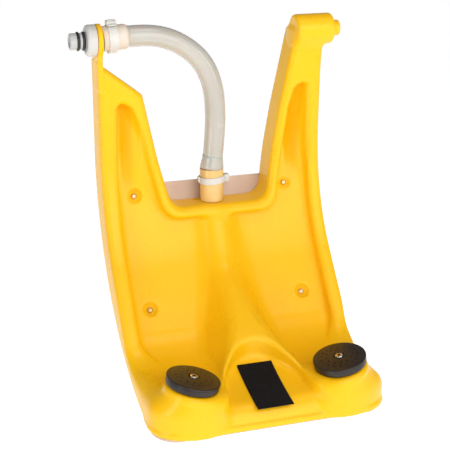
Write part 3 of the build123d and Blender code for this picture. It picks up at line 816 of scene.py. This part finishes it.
for side_name, sign in HEADS.items():
    head_way = head_axis(sign)
    head_place = about(Vector((sign * HEAD[0], HEAD[1], HEAD[2])), head_way)
    spray_cap(side_name, head_way, head_place)
    spray_cup(side_name, head_place)
    cap_screw(side_name, head_place)

# ---- cover rivets ------------------------------------------------------------------------
PLATE_REAR = BACK + 4.0  # radius of the plate's rear face
SHANK_R, REAR_R, FRONT_R = 2.4, 4.0, 3.6  # shank, rear head and front head


def rivet(seat, out):
    """Rivet from a dimple through the plate, long enough to reach the plate's rear."""
    ay, az = seat.y - ARC_Y, seat.z - ARC_Z
    inward = -(ay * out.y + az * out.z)
    grip = -inward + sqrt(inward**2 - (ay**2 + az**2 - PLATE_REAR**2))
    return lathe(bevelled(
        [(-grip - 1.8, 0.01), (-grip - 1.6, 2.2), (-grip, REAR_R), (-grip, SHANK_R),
         (-1.6, SHANK_R), (-1.6, FRONT_R), (0.6, FRONT_R), (2.0, 2.2), (2.5, 0.01)],
        {1: 1.2, 6: 0.6, 7: 1.6}, 4), about(seat, out), 32)


rivet_parts = []
for (seat_y, seat_z), tilt in DIMPLES:
    out = Vector((0, -cos(tilt), sin(tilt)))
    for sign in HEADS.values():
        seat = Vector((sign * DIMPLE_X, seat_y, seat_z)) - out * 2.4
        rivet_parts.append(rivet(seat, out))
rivets = joined("cover_studs", rivet_parts, rivet_metal)
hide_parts("cover_rivets")

# ---- hook-and-loop patch -----------------------------------------------------------------
PATCH = (42.0, 75.5, 2.4)  # width, length and thickness
PATCH_Y = -196.6  # y of its middle
PATCH_GRID = (70, 120)  # points of pile across and along


def patch_mesh():
    """A layer on the valley's floor and a tufted one over it, joined round the edge."""
    nx, ny = PATCH_GRID
    row, layer_size = nx + 1, (nx + 1) * (ny + 1)
    verts, faces = [], []
    for layer in (0, 1):
        for j in range(ny + 1):
            for i in range(nx + 1):
                u, v = i / nx - 0.5, j / ny - 0.5
                edge = min(1.0, min(0.5 - abs(u), (0.5 - abs(v)) * 1.7) * 40)
                tuft = 0.25 * sin(i * 2.3 + 5 * sin(j * 1.7)) * sin(
                    j * 2.1 + 4 * sin(i * 1.3))
                y = PATCH_Y - v * PATCH[1] * 0.96
                lift = 0.3 + layer * (
                    (PATCH[2] - 0.5) * (0.72 + 0.28 * edge) + tuft * edge)
                verts.append((u * PATCH[0], y, valley_z(y) + lift))
    for j in range(ny):
        for i in range(nx):
            quad = [j * row + i + k for k in (0, 1, row + 1, row)]
            faces.append(tuple(quad))
            faces.append(tuple(layer_size + quad[k] for k in (0, 3, 2, 1)))
    ring = (list(range(nx)) + [j * row + nx for j in range(ny)]
            + [ny * row + i for i in range(nx, 0, -1)]
            + [j * row for j in range(ny, 0, -1)])
    for a, b in zip(ring, ring[1:] + ring[:1]):
        faces.append((a, b, b + layer_size, a + layer_size))
    return verts, faces


patch = joined("hook_loop_pad", [patch_mesh()], pile)
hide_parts("hook_loop_patch")

# ---- finishes of the CAD nodes that no piece replaces --------------------------------------
finishes = {"back_plate": natural, "o_ring_outer": rubber, "o_ring_inner": rubber,
            "inlet_fitting": amber, "supply_tube": pipe, "wye_fitting": pipe}
for side_name in HEADS:
    finishes |= {
        f"branch_tube_{side_name}": pipe, f"head_elbow_{side_name}": pipe,
        f"head_gasket_{side_name}": rubber, f"filter_pad_{side_name}": foam,
        f"head_lock_nut_{side_name}": white}
for node_name, mat in finishes.items():
    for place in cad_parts[node_name].material_slots:
        place.material = mat

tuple(HOSE_ROUTE[0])

# ---- stage, light and camera --------------------------------------------------------
floor_mat = material("floor", (0.93, 0.93, 0.93), 0.9,
                     Emission_Color=(1, 1, 1, 1), Emission_Strength=0.80)
FLOOR_SIZE, FLOOR_Z = 600, -0.80  # so wide that its edge looks like the horizon
bpy.ops.mesh.primitive_plane_add(size=FLOOR_SIZE, location=(0, 0, FLOOR_Z))
floor_plane = bpy.context.object
floor_plane.name = "floor"
floor_plane.data.materials.append(floor_mat)

world = bpy.data.worlds.new("studio")
bpy.context.scene.world = world
world.use_nodes = True
background = world.node_tree.nodes["Background"]
background.inputs["Color"].default_value = (1, 1, 1, 1)
background.inputs["Strength"].default_value = 0.20

AIM = (0, -0.1, -0.2)  # middle of the object


def softbox(name, place, size, watts):
    """Rectangular area light turned to the middle of the object."""
    lamp = bpy.data.lights.new(name, "AREA")
    lamp.shape = "RECTANGLE"
    lamp.size, lamp.size_y = size
    lamp.energy = watts
    obj = bpy.data.objects.new(name, lamp)
    bpy.context.scene.collection.objects.link(obj)
    obj.location = place
    towards = Vector(AIM) - Vector(place)
    obj.rotation_euler = towards.to_track_quat("-Z", "Y").to_euler()


softbox("key", (0.15, -2.0, 0.65), (2.0, 1.7), 29)
softbox("left", (-1.7, -0.9, 0.2), (0.30, 1.6), 9)
softbox("right", (1.5, -1.4, 0.5), (0.22, 1.5), 6)
softbox("top", (0.2, -0.7, 1.7), (1.2, 0.8), 7)

camera_data = bpy.data.cameras.new("camera")
camera = bpy.data.objects.new("camera", camera_data)
bpy.context.scene.collection.objects.link(camera)
camera_data.sensor_width = 36.0
camera_data.lens = 96.0
camera.location = (-0.43322, -1.3440, 0.2285)
LOOK_DOWN, LOOK_RIGHT = radians(18.220), radians(18.586)
camera.rotation_euler = (pi / 2 - LOOK_DOWN, 0, -LOOK_RIGHT)
bpy.context.scene.camera = camera
bpy.context.scene.view_settings.view_transform = "Standard"
